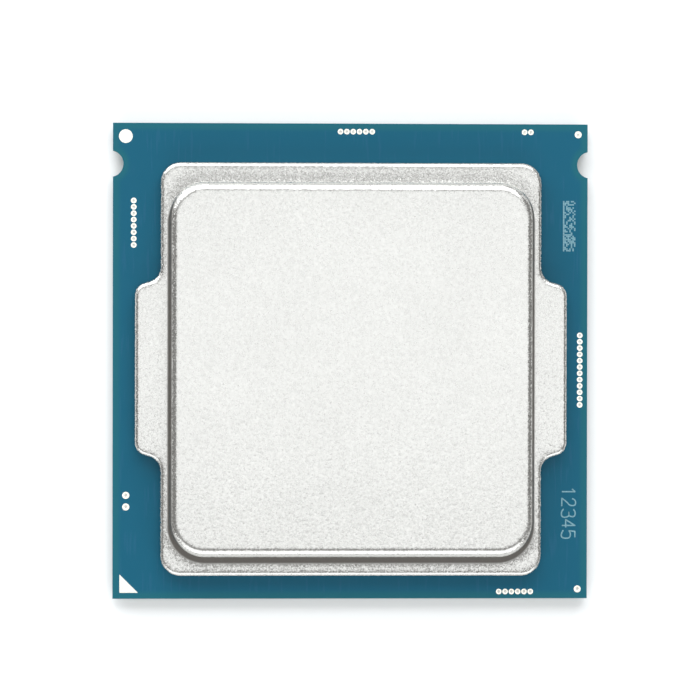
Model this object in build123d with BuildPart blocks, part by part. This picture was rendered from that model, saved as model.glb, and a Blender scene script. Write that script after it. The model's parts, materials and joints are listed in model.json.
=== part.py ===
"""Desktop computer processor in a land-grid package.

A square glass-epoxy laminate carries a flip-chip die under a nickel-plated copper heat spreader.
The top face shows gold probe pads and a corner mark, and the underside shows the field of contact
lands around a bank of decoupling capacitors. Nothing on the real object moves.

Units are millimetres. +Z is up, towards the cooler. X and Y are centred on the laminate, and
Z = 0 is the lowest point of the capacitors, on which the loose part stands. The two keying notches
are on the left and right edges, near the +Y end, and the pin-one corner is at -X, -Y.
"""

import os

from build123d import *

# ---------------------------------------------------------------- laminate
PACKAGE = 37.5  # side of the square laminate
NOTCH_R = 1.05  # keying notch, a little under a half round
NOTCH_X = 18.97  # notch centre, just outside the edge
NOTCH_Y = 15.53

MASK_T = 0.02  # solder mask, each side
BUILDUP_T = 0.18  # build-up layers, each side
CORE_T = 0.40
FOIL_T = 0.035  # copper plane on each face of the core
FOIL_PULL_BACK = 0.5  # copper stops this far inside the laminate's edge

CAPACITOR_T = 0.50
SOLDER_T = 0.03
LAND_Z = CAPACITOR_T + SOLDER_T  # plane of the underside, above the capacitors' lowest point

LOWER_BUILDUP_Z = LAND_Z + MASK_T
CORE_Z = LOWER_BUILDUP_Z + BUILDUP_T
UPPER_BUILDUP_Z = CORE_Z + CORE_T
UPPER_MASK_Z = UPPER_BUILDUP_Z + BUILDUP_T
BOARD_TOP_Z = UPPER_MASK_Z + MASK_T

# ---------------------------------------------------------------- pads on the top face
PAD_T = 0.014  # gold sits a little below the mask's surface
DIMPLE_R = 0.08  # filled via, seen as a dimple in each pad
DIMPLE_DEPTH = 0.006
PROBE_PITCH = 0.5
PROBE_R = 0.225
PAIR_R = 0.285
PAIR_PITCH = 0.91
FIDUCIAL_R = 0.28
LOCATOR_R = 0.54
MARK_LEG = 1.45  # legs of the pin-one triangle

TOP_ROW = ((0.43, 18.12), 6, 1)  # centre, columns, rows
TOP_PAIR = ((14.0, 18.12), 2, 1)
RIGHT_ROW = ((18.16, -0.69), 1, 12)
BOTTOM_ROW = ((13.02, -18.22), 6, 1)
LEFT_ROW = ((-17.11, 10.88), 1, 8)
LEFT_PAIR_CENTRE = (-17.71, -11.06)
LOCATOR_CENTRE = (-17.74, 17.70)
FIDUCIAL_CENTRES = ((18.0, 17.94), (18.0, -18.02))
MARK_CORNER = (-18.2, -18.28)

# ---------------------------------------------------------------- lands on the underside
LAND_PITCH = 0.9144
LAND_COUNT = 40  # positions along each side of the full grid
LAND_W, LAND_L = 0.60, 0.72
LAND_T = 0.016
CAVITY_COLUMNS = range(11, 29)  # positions left free for the capacitors
CAVITY_ROWS = range(8, 32)
NOTCH_ROWS = (35, 36, 37)  # the outer columns have no land beside the notches

# ---------------------------------------------------------------- capacitors on the underside
CAPACITOR_L, CAPACITOR_W = 1.00, 0.50
TERMINAL_L = 0.25  # metal end cap, which wraps the ceramic
TERMINAL_PROUD = 0.012
FOOTPRINT_L, FOOTPRINT_W = 0.42, 0.56  # solder pad under each end
FOOTPRINT_REACH = 0.12  # how far a pad runs out past the capacitor's end
SOLDER_RISE = 0.24
BANK_PITCH_X, BANK_PITCH_Y = 1.9, 1.75
BANK_COLUMNS, BANK_ROWS = 8, 2
BANK_Y = 8.6  # middle of each outer bank
MIDDLE_PITCH_X, MIDDLE_PITCH_Y = 1.9, 2.3
MIDDLE_COLUMNS, MIDDLE_ROWS = 6, 3
UNDERSIDE_PROBE_R = 0.22
UNDERSIDE_PROBE_X = 7.2
UNDERSIDE_PROBE_PITCH = 0.85
UNDERSIDE_PROBE_COUNT = 12

# ---------------------------------------------------------------- die and what bonds it
DIE_W, DIE_L, DIE_T = 9.2, 13.3, 0.70
BUMP_R, BUMP_T, BUMP_PITCH = 0.10, 0.07, 0.50
BUMP_COLUMNS, BUMP_ROWS = 17, 25
UNDERFILL_REACH, UNDERFILL_RISE = 0.9, 0.45  # epoxy fillet round the die
UNDERFILL_LIP = 0.05  # thickness of the fillet where it ends on the die's side
COMPOUND_T = 0.12
COMPOUND_SPREAD = 0.45  # thermal compound pressed out past the die
COMPOUND_CORNER_R = 1.0

DIE_Z = BOARD_TOP_Z + BUMP_T
COMPOUND_Z = DIE_Z + DIE_T
CEILING_Z = COMPOUND_Z + COMPOUND_T  # roof of the lid's cavity

# ---------------------------------------------------------------- heat spreader
LID_Y = -0.63  # the lid is set off towards -Y
SEALANT_T = 0.12
LID_Z = BOARD_TOP_Z + SEALANT_T
FLANGE_TOP_Z = LAND_Z + 2.35
LID_TOP_Z = LAND_Z + 4.38

FLANGE_W, FLANGE_L = 30.0, 32.5
FLANGE_CORNER_R = 1.6
EAR_TIP_X = 17.0  # half the width over the two ears
EAR_ROOT_Y, EAR_TIP_Y = 7.15, 6.55  # half the ear's length where it leaves the flange and at its tip
EAR_ROOT_R, EAR_TIP_R = 1.15, 1.05

PLATEAU_W, PLATEAU_L, PLATEAU_CORNER_R = 28.55, 29.35, 2.8
PLATEAU_EDGE_R = 0.68
PLATEAU_FOOT_R = 0.10
FLANGE_EDGE_R = 0.34
LID_UNDER_EDGE = 0.10

TOLERANCE = 0.001  # for choosing edges by their place
CAVITY_W, CAVITY_L, CAVITY_CORNER_R = 24.0, 26.0, 2.0
BEAD_INSET, BEAD_W = 0.7, 1.6  # the sealant's outer edge and width
BEAD_CORNER_R = 1.2
VENT_GAP = 1.8


# ---------------------------------------------------------------- shared outlines and places
def board_outline(pull_back=0.0):
    """Draws the laminate's square with its two keying notches into the current sketch."""
    side = PACKAGE - 2 * pull_back
    Rectangle(side, side)
    with Locations((-NOTCH_X, NOTCH_Y), (NOTCH_X, NOTCH_Y)):
        Circle(NOTCH_R + pull_back, mode=Mode.SUBTRACT)


def lid_outline_points():
    """Corners of the heat spreader's outline and their radii, anticlockwise from the +X, +Y corner."""
    x, y = FLANGE_W / 2, FLANGE_L / 2
    quarter = [
        ((x, y), FLANGE_CORNER_R),
        ((x, EAR_ROOT_Y), EAR_ROOT_R),
        ((EAR_TIP_X, EAR_TIP_Y), EAR_TIP_R),
    ]
    right = quarter + [((px, -py), r) for (px, py), r in reversed(quarter)]
    left = [((-px, py), r) for (px, py), r in reversed(right)]
    clockwise = right + left
    points = [point for point, _ in clockwise]
    radii = [radius for _, radius in clockwise]
    return points, radii


def grid_place(column, row):
    """Centre of one position of the land grid."""
    middle = (LAND_COUNT - 1) / 2
    return (column - middle) * LAND_PITCH, (row - middle) * LAND_PITCH


def has_land(column, row):
    """Whether a position of the full grid carries a land."""
    last = LAND_COUNT - 1
    if column in CAVITY_COLUMNS and row in CAVITY_ROWS:
        return False
    if column in (0, last) and row in NOTCH_ROWS:
        return False
    from_corner = min(column, last - column) + min(row, last - row)
    if from_corner == 0:
        return False
    return from_corner > 1 or (column, row) == (1, 0)


def in_upper_left(column, row):
    """The lands form two opposing L shapes: this one is the band at +Y and the band at -X."""
    above = row > CAVITY_ROWS[-1]
    beside = column < CAVITY_COLUMNS[0] and row >= CAVITY_ROWS[0]
    return above or beside


POSITIONS = [(c, r) for r in range(LAND_COUNT) for c in range(LAND_COUNT) if has_land(c, r)]
UPPER_LEFT_PLACES = [grid_place(c, r) for c, r in POSITIONS if in_upper_left(c, r)]
LOWER_RIGHT_PLACES = [grid_place(c, r) for c, r in POSITIONS if not in_upper_left(c, r)]


def grid_places(centre_x, centre_y, pitch_x, pitch_y, columns, rows):
    """Centres of a rectangular grid."""
    return [
        (centre_x + (c - (columns - 1) / 2) * pitch_x, centre_y + (r - (rows - 1) / 2) * pitch_y)
        for r in range(rows)
        for c in range(columns)
    ]


def probe_places(row_of_pads):
    """Centres of one row of probe pads."""
    (x, y), columns, rows = row_of_pads
    return grid_places(x, y, PROBE_PITCH, PROBE_PITCH, columns, rows)


OUTER_BANK_PLACES = grid_places(0, BANK_Y, BANK_PITCH_X, BANK_PITCH_Y, BANK_COLUMNS, BANK_ROWS)
OUTER_BANK_PLACES += grid_places(0, -BANK_Y, BANK_PITCH_X, BANK_PITCH_Y, BANK_COLUMNS, BANK_ROWS)
MIDDLE_PLACES = grid_places(
    0, 0, MIDDLE_PITCH_X, MIDDLE_PITCH_Y, MIDDLE_COLUMNS, MIDDLE_ROWS
)
ALL_CAPACITOR_PLACES = OUTER_BANK_PLACES + MIDDLE_PLACES
LEFT_PAIR = grid_places(*LEFT_PAIR_CENTRE, PROBE_PITCH, PAIR_PITCH, 1, 2)
UNDERSIDE_PROBES = grid_places(
    0, 0, 2 * UNDERSIDE_PROBE_X, UNDERSIDE_PROBE_PITCH, 2, UNDERSIDE_PROBE_COUNT
)
FOOTPRINT_Y = CAPACITOR_L / 2 + FOOTPRINT_REACH - FOOTPRINT_L / 2
FOOTPRINTS = [(x, y + side * FOOTPRINT_Y) for x, y in ALL_CAPACITOR_PLACES for side in (-1, 1)]

PROBE_ROWS = (TOP_ROW, TOP_PAIR, RIGHT_ROW, BOTTOM_ROW, LEFT_ROW)
ALL_PROBES = [place for row in PROBE_ROWS for place in probe_places(row)]
MARK_POINTS = (
    MARK_CORNER,
    (MARK_CORNER[0] + MARK_LEG, MARK_CORNER[1]),
    (MARK_CORNER[0], MARK_CORNER[1] + MARK_LEG),
)


def write(part, name):
    """Labels a finished sub-part and writes its STEP file."""
    part.label = name
    export_step(part, f"parts/{name}.step")


os.makedirs("parts", exist_ok=True)

# ================================================================ laminate
with BuildPart() as substrate_core:
    with BuildSketch(Plane.XY.offset(CORE_Z)):
        board_outline()
    extrude(amount=CORE_T)
write(substrate_core.part, "substrate_core")

with BuildPart() as lower_copper_plane:
    with BuildSketch(Plane.XY.offset(CORE_Z - FOIL_T)):
        board_outline(FOIL_PULL_BACK)
    extrude(amount=FOIL_T)
write(lower_copper_plane.part, "lower_copper_plane")

with BuildPart() as upper_copper_plane:
    with BuildSketch(Plane.XY.offset(UPPER_BUILDUP_Z)):
        board_outline(FOIL_PULL_BACK)
    extrude(amount=FOIL_T)
write(upper_copper_plane.part, "upper_copper_plane")

with BuildPart() as lower_buildup:
    with BuildSketch(Plane.XY.offset(LOWER_BUILDUP_Z)):
        board_outline()
    extrude(amount=BUILDUP_T)
    with BuildSketch(Plane.XY.offset(CORE_Z - FOIL_T)):
        board_outline(FOIL_PULL_BACK)
    extrude(amount=FOIL_T, mode=Mode.SUBTRACT)
write(lower_buildup.part, "lower_buildup")

with BuildPart() as upper_buildup:
    with BuildSketch(Plane.XY.offset(UPPER_BUILDUP_Z)):
        board_outline()
    extrude(amount=BUILDUP_T)
    with BuildSketch(Plane.XY.offset(UPPER_BUILDUP_Z)):
        board_outline(FOIL_PULL_BACK)
    extrude(amount=FOIL_T, mode=Mode.SUBTRACT)
write(upper_buildup.part, "upper_buildup")

# The mask leaves each pad open, and the pad's metal fills the opening.
with BuildPart() as upper_solder_mask:
    with BuildSketch(Plane.XY.offset(UPPER_MASK_Z)):
        board_outline()
        with Locations(*ALL_PROBES):
            Circle(PROBE_R, mode=Mode.SUBTRACT)
        with Locations(*LEFT_PAIR):
            Circle(PAIR_R, mode=Mode.SUBTRACT)
        with Locations(*FIDUCIAL_CENTRES):
            Circle(FIDUCIAL_R, mode=Mode.SUBTRACT)
        with Locations(LOCATOR_CENTRE):
            Circle(LOCATOR_R, mode=Mode.SUBTRACT)
        Polygon(*MARK_POINTS, align=None, mode=Mode.SUBTRACT)
        Rectangle(BUMP_COLUMNS * BUMP_PITCH, BUMP_ROWS * BUMP_PITCH, mode=Mode.SUBTRACT)
    extrude(amount=MASK_T)
write(upper_solder_mask.part, "upper_solder_mask")

# Its face is made from the outline and the windows' wires, because cutting some 1300 windows one
# by one takes minutes.
with BuildSketch() as underside:
    board_outline()
windows = [
    Wire.make_rect(LAND_W, LAND_L, Plane((x, y, 0)))
    for x, y in UPPER_LEFT_PLACES + LOWER_RIGHT_PLACES
]
windows += [Wire.make_rect(FOOTPRINT_W, FOOTPRINT_L, Plane((x, y, 0))) for x, y in FOOTPRINTS]
windows += [Wire.make_circle(UNDERSIDE_PROBE_R, Plane((x, y, 0))) for x, y in UNDERSIDE_PROBES]
windowed_face = Face(underside.face().outer_wire(), windows)
with BuildPart() as lower_solder_mask:
    extrude(Pos(0, 0, LAND_Z) * windowed_face, amount=MASK_T)
write(lower_solder_mask.part, "lower_solder_mask")

# ================================================================ gold on the top face
def dimpled_pads(places, radius):
    """Round pads in the upper mask's openings, each with a via dimple, added to the current part."""
    bottom = Locations(*[(x, y, UPPER_MASK_Z) for x, y in places])
    top = Locations(*[(x, y, UPPER_MASK_Z + PAD_T - DIMPLE_DEPTH / 2) for x, y in places])
    with bottom:
        Cylinder(radius, PAD_T, align=(Align.CENTER, Align.CENTER, Align.MIN))
    with top:
        Cylinder(DIMPLE_R, DIMPLE_DEPTH, mode=Mode.SUBTRACT)


with BuildPart() as top_probe_row:
    dimpled_pads(probe_places(TOP_ROW), PROBE_R)
write(top_probe_row.part, "top_probe_row")

with BuildPart() as top_probe_pair:
    dimpled_pads(probe_places(TOP_PAIR), PROBE_R)
write(top_probe_pair.part, "top_probe_pair")

with BuildPart() as right_probe_row:
    dimpled_pads(probe_places(RIGHT_ROW), PROBE_R)
write(right_probe_row.part, "right_probe_row")

with BuildPart() as bottom_probe_row:
    dimpled_pads(probe_places(BOTTOM_ROW), PROBE_R)
write(bottom_probe_row.part, "bottom_probe_row")

with BuildPart() as left_probe_row:
    dimpled_pads(probe_places(LEFT_ROW), PROBE_R)
write(left_probe_row.part, "left_probe_row")

with BuildPart() as left_probe_pair:
    dimpled_pads(LEFT_PAIR, PAIR_R)
write(left_probe_pair.part, "left_probe_pair")

with BuildPart() as corner_fiducials:
    dimpled_pads(FIDUCIAL_CENTRES, FIDUCIAL_R)
write(corner_fiducials.part, "corner_fiducials")

with BuildPart() as corner_locator:
    with BuildSketch(Plane.XY.offset(UPPER_MASK_Z)):
        with Locations(LOCATOR_CENTRE):
            Circle(LOCATOR_R)
    extrude(amount=PAD_T)
write(corner_locator.part, "corner_locator")

with BuildPart() as pin_one_mark:
    with BuildSketch(Plane.XY.offset(UPPER_MASK_Z)):
        Polygon(*MARK_POINTS, align=None)
    extrude(amount=PAD_T)
write(pin_one_mark.part, "pin_one_mark")

# ================================================================ metal on the underside
def underside_pads(places, width, length):
    """Flat rectangular pads in the lower mask's windows, added to the current part."""
    with Locations(*[(x, y, LOWER_BUILDUP_Z) for x, y in places]):
        Box(width, length, LAND_T, align=(Align.CENTER, Align.CENTER, Align.MAX))


with BuildPart() as upper_left_lands:
    underside_pads(UPPER_LEFT_PLACES, LAND_W, LAND_L)
write(upper_left_lands.part, "upper_left_lands")

with BuildPart() as lower_right_lands:
    underside_pads(LOWER_RIGHT_PLACES, LAND_W, LAND_L)
write(lower_right_lands.part, "lower_right_lands")

with BuildPart() as underside_probe_pads:
    with Locations(*[(x, y, LOWER_BUILDUP_Z) for x, y in UNDERSIDE_PROBES]):
        Cylinder(UNDERSIDE_PROBE_R, LAND_T, align=(Align.CENTER, Align.CENTER, Align.MAX))
write(underside_probe_pads.part, "underside_probe_pads")

with BuildPart() as capacitor_footprints:
    underside_pads(FOOTPRINTS, FOOTPRINT_W, FOOTPRINT_L)
write(capacitor_footprints.part, "capacitor_footprints")

# ================================================================ capacitors
FOOTPRINT_SURFACE_Z = LOWER_BUILDUP_Z - LAND_T
CAPACITOR_TOP_Z = CAPACITOR_T
CERAMIC_L = CAPACITOR_L - 2 * TERMINAL_L
CERAMIC_W = CAPACITOR_W - 2 * TERMINAL_PROUD
CERAMIC_T = CAPACITOR_T - 2 * TERMINAL_PROUD
TERMINAL_Y = (CERAMIC_L + TERMINAL_L) / 2


def ceramic_blocks(places):
    """The bare ceramic between the two end caps of each capacitor, added to the current part."""
    with Locations(*[(x, y, CAPACITOR_T / 2) for x, y in places]):
        Box(CERAMIC_W, CERAMIC_L, CERAMIC_T)


def terminals(places):
    """The two metal end caps of each capacitor, added to the current part."""
    ends = [(x, y + side * TERMINAL_Y, CAPACITOR_T / 2) for x, y in places for side in (-1, 1)]
    with Locations(*ends):
        Box(CAPACITOR_W, TERMINAL_L, CAPACITOR_T)


with BuildPart() as outer_bank_ceramics:
    ceramic_blocks(OUTER_BANK_PLACES)
write(outer_bank_ceramics.part, "outer_bank_ceramics")

with BuildPart() as outer_bank_terminals:
    terminals(OUTER_BANK_PLACES)
write(outer_bank_terminals.part, "outer_bank_terminals")

with BuildPart() as middle_bank_ceramics:
    ceramic_blocks(MIDDLE_PLACES)
write(middle_bank_ceramics.part, "middle_bank_ceramics")

with BuildPart() as middle_bank_terminals:
    terminals(MIDDLE_PLACES)
write(middle_bank_terminals.part, "middle_bank_terminals")

# A joint is the film under the end cap and the fillet that climbs its end face.
with BuildPart() as solder_joint:
    with BuildSketch(Plane.YZ):
        inner = CAPACITOR_L / 2 - TERMINAL_L
        outer = CAPACITOR_L / 2 + FOOTPRINT_REACH
        Polygon(
            (inner, CAPACITOR_TOP_Z),
            (CAPACITOR_L / 2, CAPACITOR_TOP_Z),
            (CAPACITOR_L / 2, CAPACITOR_TOP_Z - SOLDER_RISE),
            (outer, FOOTPRINT_SURFACE_Z),
            (inner, FOOTPRINT_SURFACE_Z),
            align=None,
        )
    extrude(amount=CAPACITOR_W / 2, both=True)

with BuildPart() as capacitor_solder:
    with Locations(*[(x, y, 0) for x, y in ALL_CAPACITOR_PLACES]):
        add(solder_joint.part)
        add(solder_joint.part, rotation=(0, 0, 180))
write(capacitor_solder.part, "capacitor_solder")

# ================================================================ die and what bonds it
BUMP_PLACES = grid_places(0, 0, BUMP_PITCH, BUMP_PITCH, BUMP_COLUMNS, BUMP_ROWS)
FIELD_W, FIELD_L = BUMP_COLUMNS * BUMP_PITCH, BUMP_ROWS * BUMP_PITCH

with BuildPart() as silicon_die:
    with BuildSketch(Plane.XY.offset(DIE_Z)):
        Rectangle(DIE_W, DIE_L)
    extrude(amount=DIE_T)
write(silicon_die.part, "silicon_die")

with BuildPart() as die_bumps:
    with Locations(*[(x, y, UPPER_MASK_Z) for x, y in BUMP_PLACES]):
        Cylinder(BUMP_R, DIE_Z - UPPER_MASK_Z, align=(Align.CENTER, Align.CENTER, Align.MIN))
write(die_bumps.part, "die_bumps")

# The underfill fills the gap between the bumps and climbs the die's sides in a fillet.
with BuildSketch() as bump_field:
    Rectangle(FIELD_W, FIELD_L)
bump_holes = [Wire.make_circle(BUMP_R, Plane((x, y, 0))) for x, y in BUMP_PLACES]
bump_field_face = Face(bump_field.face().outer_wire(), bump_holes)
with BuildPart() as underfill:
    with BuildSketch(Plane.XY.offset(BOARD_TOP_Z)):
        RectangleRounded(
            DIE_W + 2 * UNDERFILL_REACH, DIE_L + 2 * UNDERFILL_REACH, UNDERFILL_REACH
        )
    with BuildSketch(Plane.XY.offset(DIE_Z + UNDERFILL_RISE)):
        RectangleRounded(DIE_W + 2 * UNDERFILL_LIP, DIE_L + 2 * UNDERFILL_LIP, UNDERFILL_LIP)
    loft()
    with BuildSketch(Plane.XY.offset(BOARD_TOP_Z)):
        Rectangle(DIE_W, DIE_L)
    extrude(amount=BUMP_T + UNDERFILL_RISE, mode=Mode.SUBTRACT)
    with BuildSketch(Plane.XY.offset(BOARD_TOP_Z)):
        Rectangle(DIE_W, DIE_L)
        Rectangle(FIELD_W, FIELD_L, mode=Mode.SUBTRACT)
    extrude(amount=BUMP_T)
    extrude(Pos(0, 0, UPPER_MASK_Z) * bump_field_face, amount=DIE_Z - UPPER_MASK_Z)
write(underfill.part, "underfill")

with BuildPart() as thermal_compound:
    with BuildSketch(Plane.XY.offset(COMPOUND_Z)):
        RectangleRounded(
            DIE_W + 2 * COMPOUND_SPREAD, DIE_L + 2 * COMPOUND_SPREAD, COMPOUND_CORNER_R
        )
    extrude(amount=COMPOUND_T)
write(thermal_compound.part, "thermal_compound")

# ================================================================ heat spreader
def beside_plateau(edge):
    """Whether an edge lies on the plateau's outline and not on the flange's."""
    centre = edge.center()
    inside_width = abs(centre.X) < PLATEAU_W / 2 + TOLERANCE
    return inside_width and abs(centre.Y - LID_Y) < PLATEAU_L / 2 + TOLERANCE


outline_points, outline_radii = lid_outline_points()
with BuildPart() as heat_spreader:
    with BuildSketch(Plane((0, LID_Y, LID_Z))):
        with BuildLine():
            FilletPolyline(*outline_points, radius=outline_radii, close=True)
        make_face()
    extrude(amount=FLANGE_TOP_Z - LID_Z)
    fillet(heat_spreader.faces().sort_by(Axis.Z)[-1].edges(), FLANGE_EDGE_R)
    fillet(heat_spreader.faces().sort_by(Axis.Z)[0].edges(), LID_UNDER_EDGE)
    with BuildSketch(Plane((0, LID_Y, FLANGE_TOP_Z))):
        RectangleRounded(PLATEAU_W, PLATEAU_L, PLATEAU_CORNER_R)
    extrude(amount=LID_TOP_Z - FLANGE_TOP_Z)
    fillet(heat_spreader.faces().sort_by(Axis.Z)[-1].edges(), PLATEAU_EDGE_R)
    at_flange_top = (FLANGE_TOP_Z - TOLERANCE, FLANGE_TOP_Z + TOLERANCE)
    foot_edges = heat_spreader.edges().filter_by_position(Axis.Z, *at_flange_top)
    fillet(foot_edges.filter_by(beside_plateau), PLATEAU_FOOT_R)
    with BuildSketch(Plane((0, LID_Y, LID_Z))):
        RectangleRounded(CAVITY_W, CAVITY_L, CAVITY_CORNER_R)
    extrude(amount=CEILING_Z - LID_Z, mode=Mode.SUBTRACT)
write(heat_spreader.part, "heat_spreader")

# The sealant is one bead with a vent gap in its -Y side.
with BuildPart() as lid_sealant:
    with BuildSketch(Plane((0, LID_Y, BOARD_TOP_Z))):
        outer_w, outer_l = FLANGE_W - 2 * BEAD_INSET, FLANGE_L - 2 * BEAD_INSET
        RectangleRounded(outer_w, outer_l, BEAD_CORNER_R)
        RectangleRounded(
            outer_w - 2 * BEAD_W, outer_l - 2 * BEAD_W, BEAD_CORNER_R / 2, mode=Mode.SUBTRACT
        )
        with Locations((0, -(outer_l - BEAD_W) / 2)):
            Rectangle(VENT_GAP, 2 * BEAD_W, mode=Mode.SUBTRACT)
    extrude(amount=SEALANT_T)
write(lid_sealant.part, "lid_sealant")
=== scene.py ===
"""A desktop computer processor in a land-grid package, finished for a studio picture.

The file is laid out as an add-on and run as a script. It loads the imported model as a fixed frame,
gives every carried-over solid its finish, and builds the pieces whose fine shape the solids only
block out: the pressed heat spreader, the plated pads and lands, the chip capacitors, their solder
and the laser marks.

Lengths are metres. +Z is up, towards the cooler, and the pin-one corner is at -X, -Y.
"""

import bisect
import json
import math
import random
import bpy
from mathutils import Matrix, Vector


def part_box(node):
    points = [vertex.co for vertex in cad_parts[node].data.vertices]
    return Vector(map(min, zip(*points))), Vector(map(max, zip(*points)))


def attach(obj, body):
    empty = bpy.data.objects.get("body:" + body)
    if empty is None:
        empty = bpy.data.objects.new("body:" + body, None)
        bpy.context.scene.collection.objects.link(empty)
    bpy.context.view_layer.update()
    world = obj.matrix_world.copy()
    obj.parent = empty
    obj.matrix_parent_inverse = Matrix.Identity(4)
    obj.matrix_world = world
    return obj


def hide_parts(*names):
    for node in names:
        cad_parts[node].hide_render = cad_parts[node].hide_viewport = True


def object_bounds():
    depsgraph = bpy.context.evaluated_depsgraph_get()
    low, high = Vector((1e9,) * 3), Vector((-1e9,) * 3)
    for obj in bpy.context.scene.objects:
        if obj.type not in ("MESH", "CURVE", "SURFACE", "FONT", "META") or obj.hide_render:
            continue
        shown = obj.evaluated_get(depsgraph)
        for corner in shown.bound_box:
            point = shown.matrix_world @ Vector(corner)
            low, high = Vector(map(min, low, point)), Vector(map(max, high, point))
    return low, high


bl_info = {
    "name": "Land-grid processor",
    "version": (1, 0, 0),
    "blender": (4, 5, 0),
    "location": "3D View > Sidebar > Processor",
    "description": "Builds the finishes, fine pieces and studio of a desktop processor",
    "category": "Object",
}

import bmesh
import bpy
from bpy.props import FloatProperty, FloatVectorProperty, IntProperty, PointerProperty, StringProperty
from mathutils import Matrix, Vector

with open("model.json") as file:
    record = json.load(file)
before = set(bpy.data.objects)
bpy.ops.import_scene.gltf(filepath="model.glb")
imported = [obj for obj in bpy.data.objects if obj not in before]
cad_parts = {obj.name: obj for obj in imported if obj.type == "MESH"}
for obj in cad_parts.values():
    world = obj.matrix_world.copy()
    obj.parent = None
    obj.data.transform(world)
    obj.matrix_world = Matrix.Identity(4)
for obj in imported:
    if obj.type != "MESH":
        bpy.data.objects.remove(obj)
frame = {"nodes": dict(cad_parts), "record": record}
NODES = frame["nodes"]
CAD_BOX = [list(corner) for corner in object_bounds()]
BODY = "root"
MM = 0.001

LID_LOW, LID_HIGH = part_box("heat_spreader")
MASK_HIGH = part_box("upper_solder_mask")[1]
BOARD_HALF = MASK_HIGH.x
BOARD_TOP = MASK_HIGH.z
NOTCH_CENTRE = (18.97 * MM, 15.53 * MM, 0.0)
NOTCH_RADIUS = 1.05 * MM

WELD = 0.0001 * MM  # vertices nearer than this are one
TOUCH = 0.05 * MM
HOLD = 0.02 * MM  # a narrow flat band that keeps shading true beside a rolled edge
FLAT_ANGLE = math.radians(0.5)
SMOOTH_ANGLE = math.radians(35)
CORNER_STEP = math.radians(5)  # steps of round corners in plan
SECTION_STEP = 11.25  # degrees, steps of rolled edges in section
LAND_CORNER_PARTS = 4
LAND_EDGE_PARTS = 2
CAPACITOR_EDGE_PARTS = 3
FILLET_PARTS = 6
# Across a solder joint: the place from side to side, and the share of the fillet's reach there.
FILLET_SECTIONS = ((-1.0, 0.55), (-0.8, 0.88), (0.0, 1.0), (0.8, 0.88), (1.0, 0.55))
FLANGE_RINGS = 16
CROWN_RINGS = 4
PAD_NODES = ("top_probe_row", "top_probe_pair", "right_probe_row", "bottom_probe_row",
             "left_probe_row", "left_probe_pair", "corner_fiducials")
PAD_SIDES = 24
BOWL_RINGS = 3
CELL_FILL = 0.92  # of a code cell's side
CELL_CHANCE = 0.5
DIGIT_WIDTH = 0.6  # of a digit's height
FLOOR_RADIUS = 3.0
FLOOR_SIDES = 96
FLOOR_GAP = 0.005 * MM
SENSOR_WIDTH = 36.0
CLIP_NEAR, CLIP_FAR = 0.01, 10.0
# Soft boxes: name, place, width, height and what the face gives off.
SOFT_BOXES = (
    ("main_box", (0.05, 0.0, 0.60), 0.80, 0.21, 1.60),
    ("back_box", (-0.12, 0.45, 0.335), 1.20, 0.56, 3.2),
    ("front_box", (0.0, -0.475, 0.297), 1.20, 0.49, 1.9),
)
BOX_COLOUR = "#F6FAFE"
ROOM_COLOUR, ROOM_STRENGTH = "#AAAAAA", 0.70
BACKDROP_COLOUR = "#F7F7F7"


def linear(code):
    """An sRGB hex colour as linear red, green, blue and alpha."""
    channels = [int(code[i : i + 2], 16) / 255 for i in (1, 3, 5)]
    return tuple(c / 12.92 if c <= 0.04045 else ((c + 0.055) / 1.055) ** 2.4 for c in channels) + (1.0,)


# Plain single-stroke digits: points right and up from the foot, where a repeated point is a corner.
DIGITS = {
    "1": [(0.15, 0.78), (0.5, 1.0), (0.5, 1.0), (0.5, 0.0)],
    "2": [(0.05, 0.78), (0.1, 1.02), (0.9, 1.08), (0.95, 0.62), (0.4, 0.35), (0.0, 0.0), (0.0, 0.0),
          (1.0, 0.0)],
    "3": [(0.05, 0.88), (0.3, 1.04), (1.0, 1.0), (0.95, 0.55), (0.4, 0.54), (0.4, 0.54), (1.0, 0.55),
          (1.1, 0.0), (0.3, -0.06), (0.0, 0.14)],
    "4": [(0.75, 0.0), (0.75, 1.0), (0.75, 1.0), (0.0, 0.3), (0.0, 0.3), (1.0, 0.3)],
    "5": [(0.9, 1.0), (0.15, 1.0), (0.15, 1.0), (0.08, 0.55), (0.08, 0.55), (0.4, 0.68), (1.05, 0.6),
          (1.0, -0.02), (0.35, -0.05), (0.0, 0.12)],
}


# ================================================================ what a user would change
def length_prop(name, description, millimetres):
    """A length that a user can change."""
    return FloatProperty(name=name, description=description, default=millimetres * MM,
                         unit="LENGTH", precision=6)


def angle_prop(name, description, degrees):
    """An angle that a user can change."""
    return FloatProperty(name=name, description=description, default=math.radians(degrees),
                         subtype="ANGLE")


def colour_prop(name, description, code):
    """A colour that a user can change."""
    return FloatVectorProperty(name=name, description=description, default=linear(code),
                               subtype="COLOR", size=4)


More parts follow.
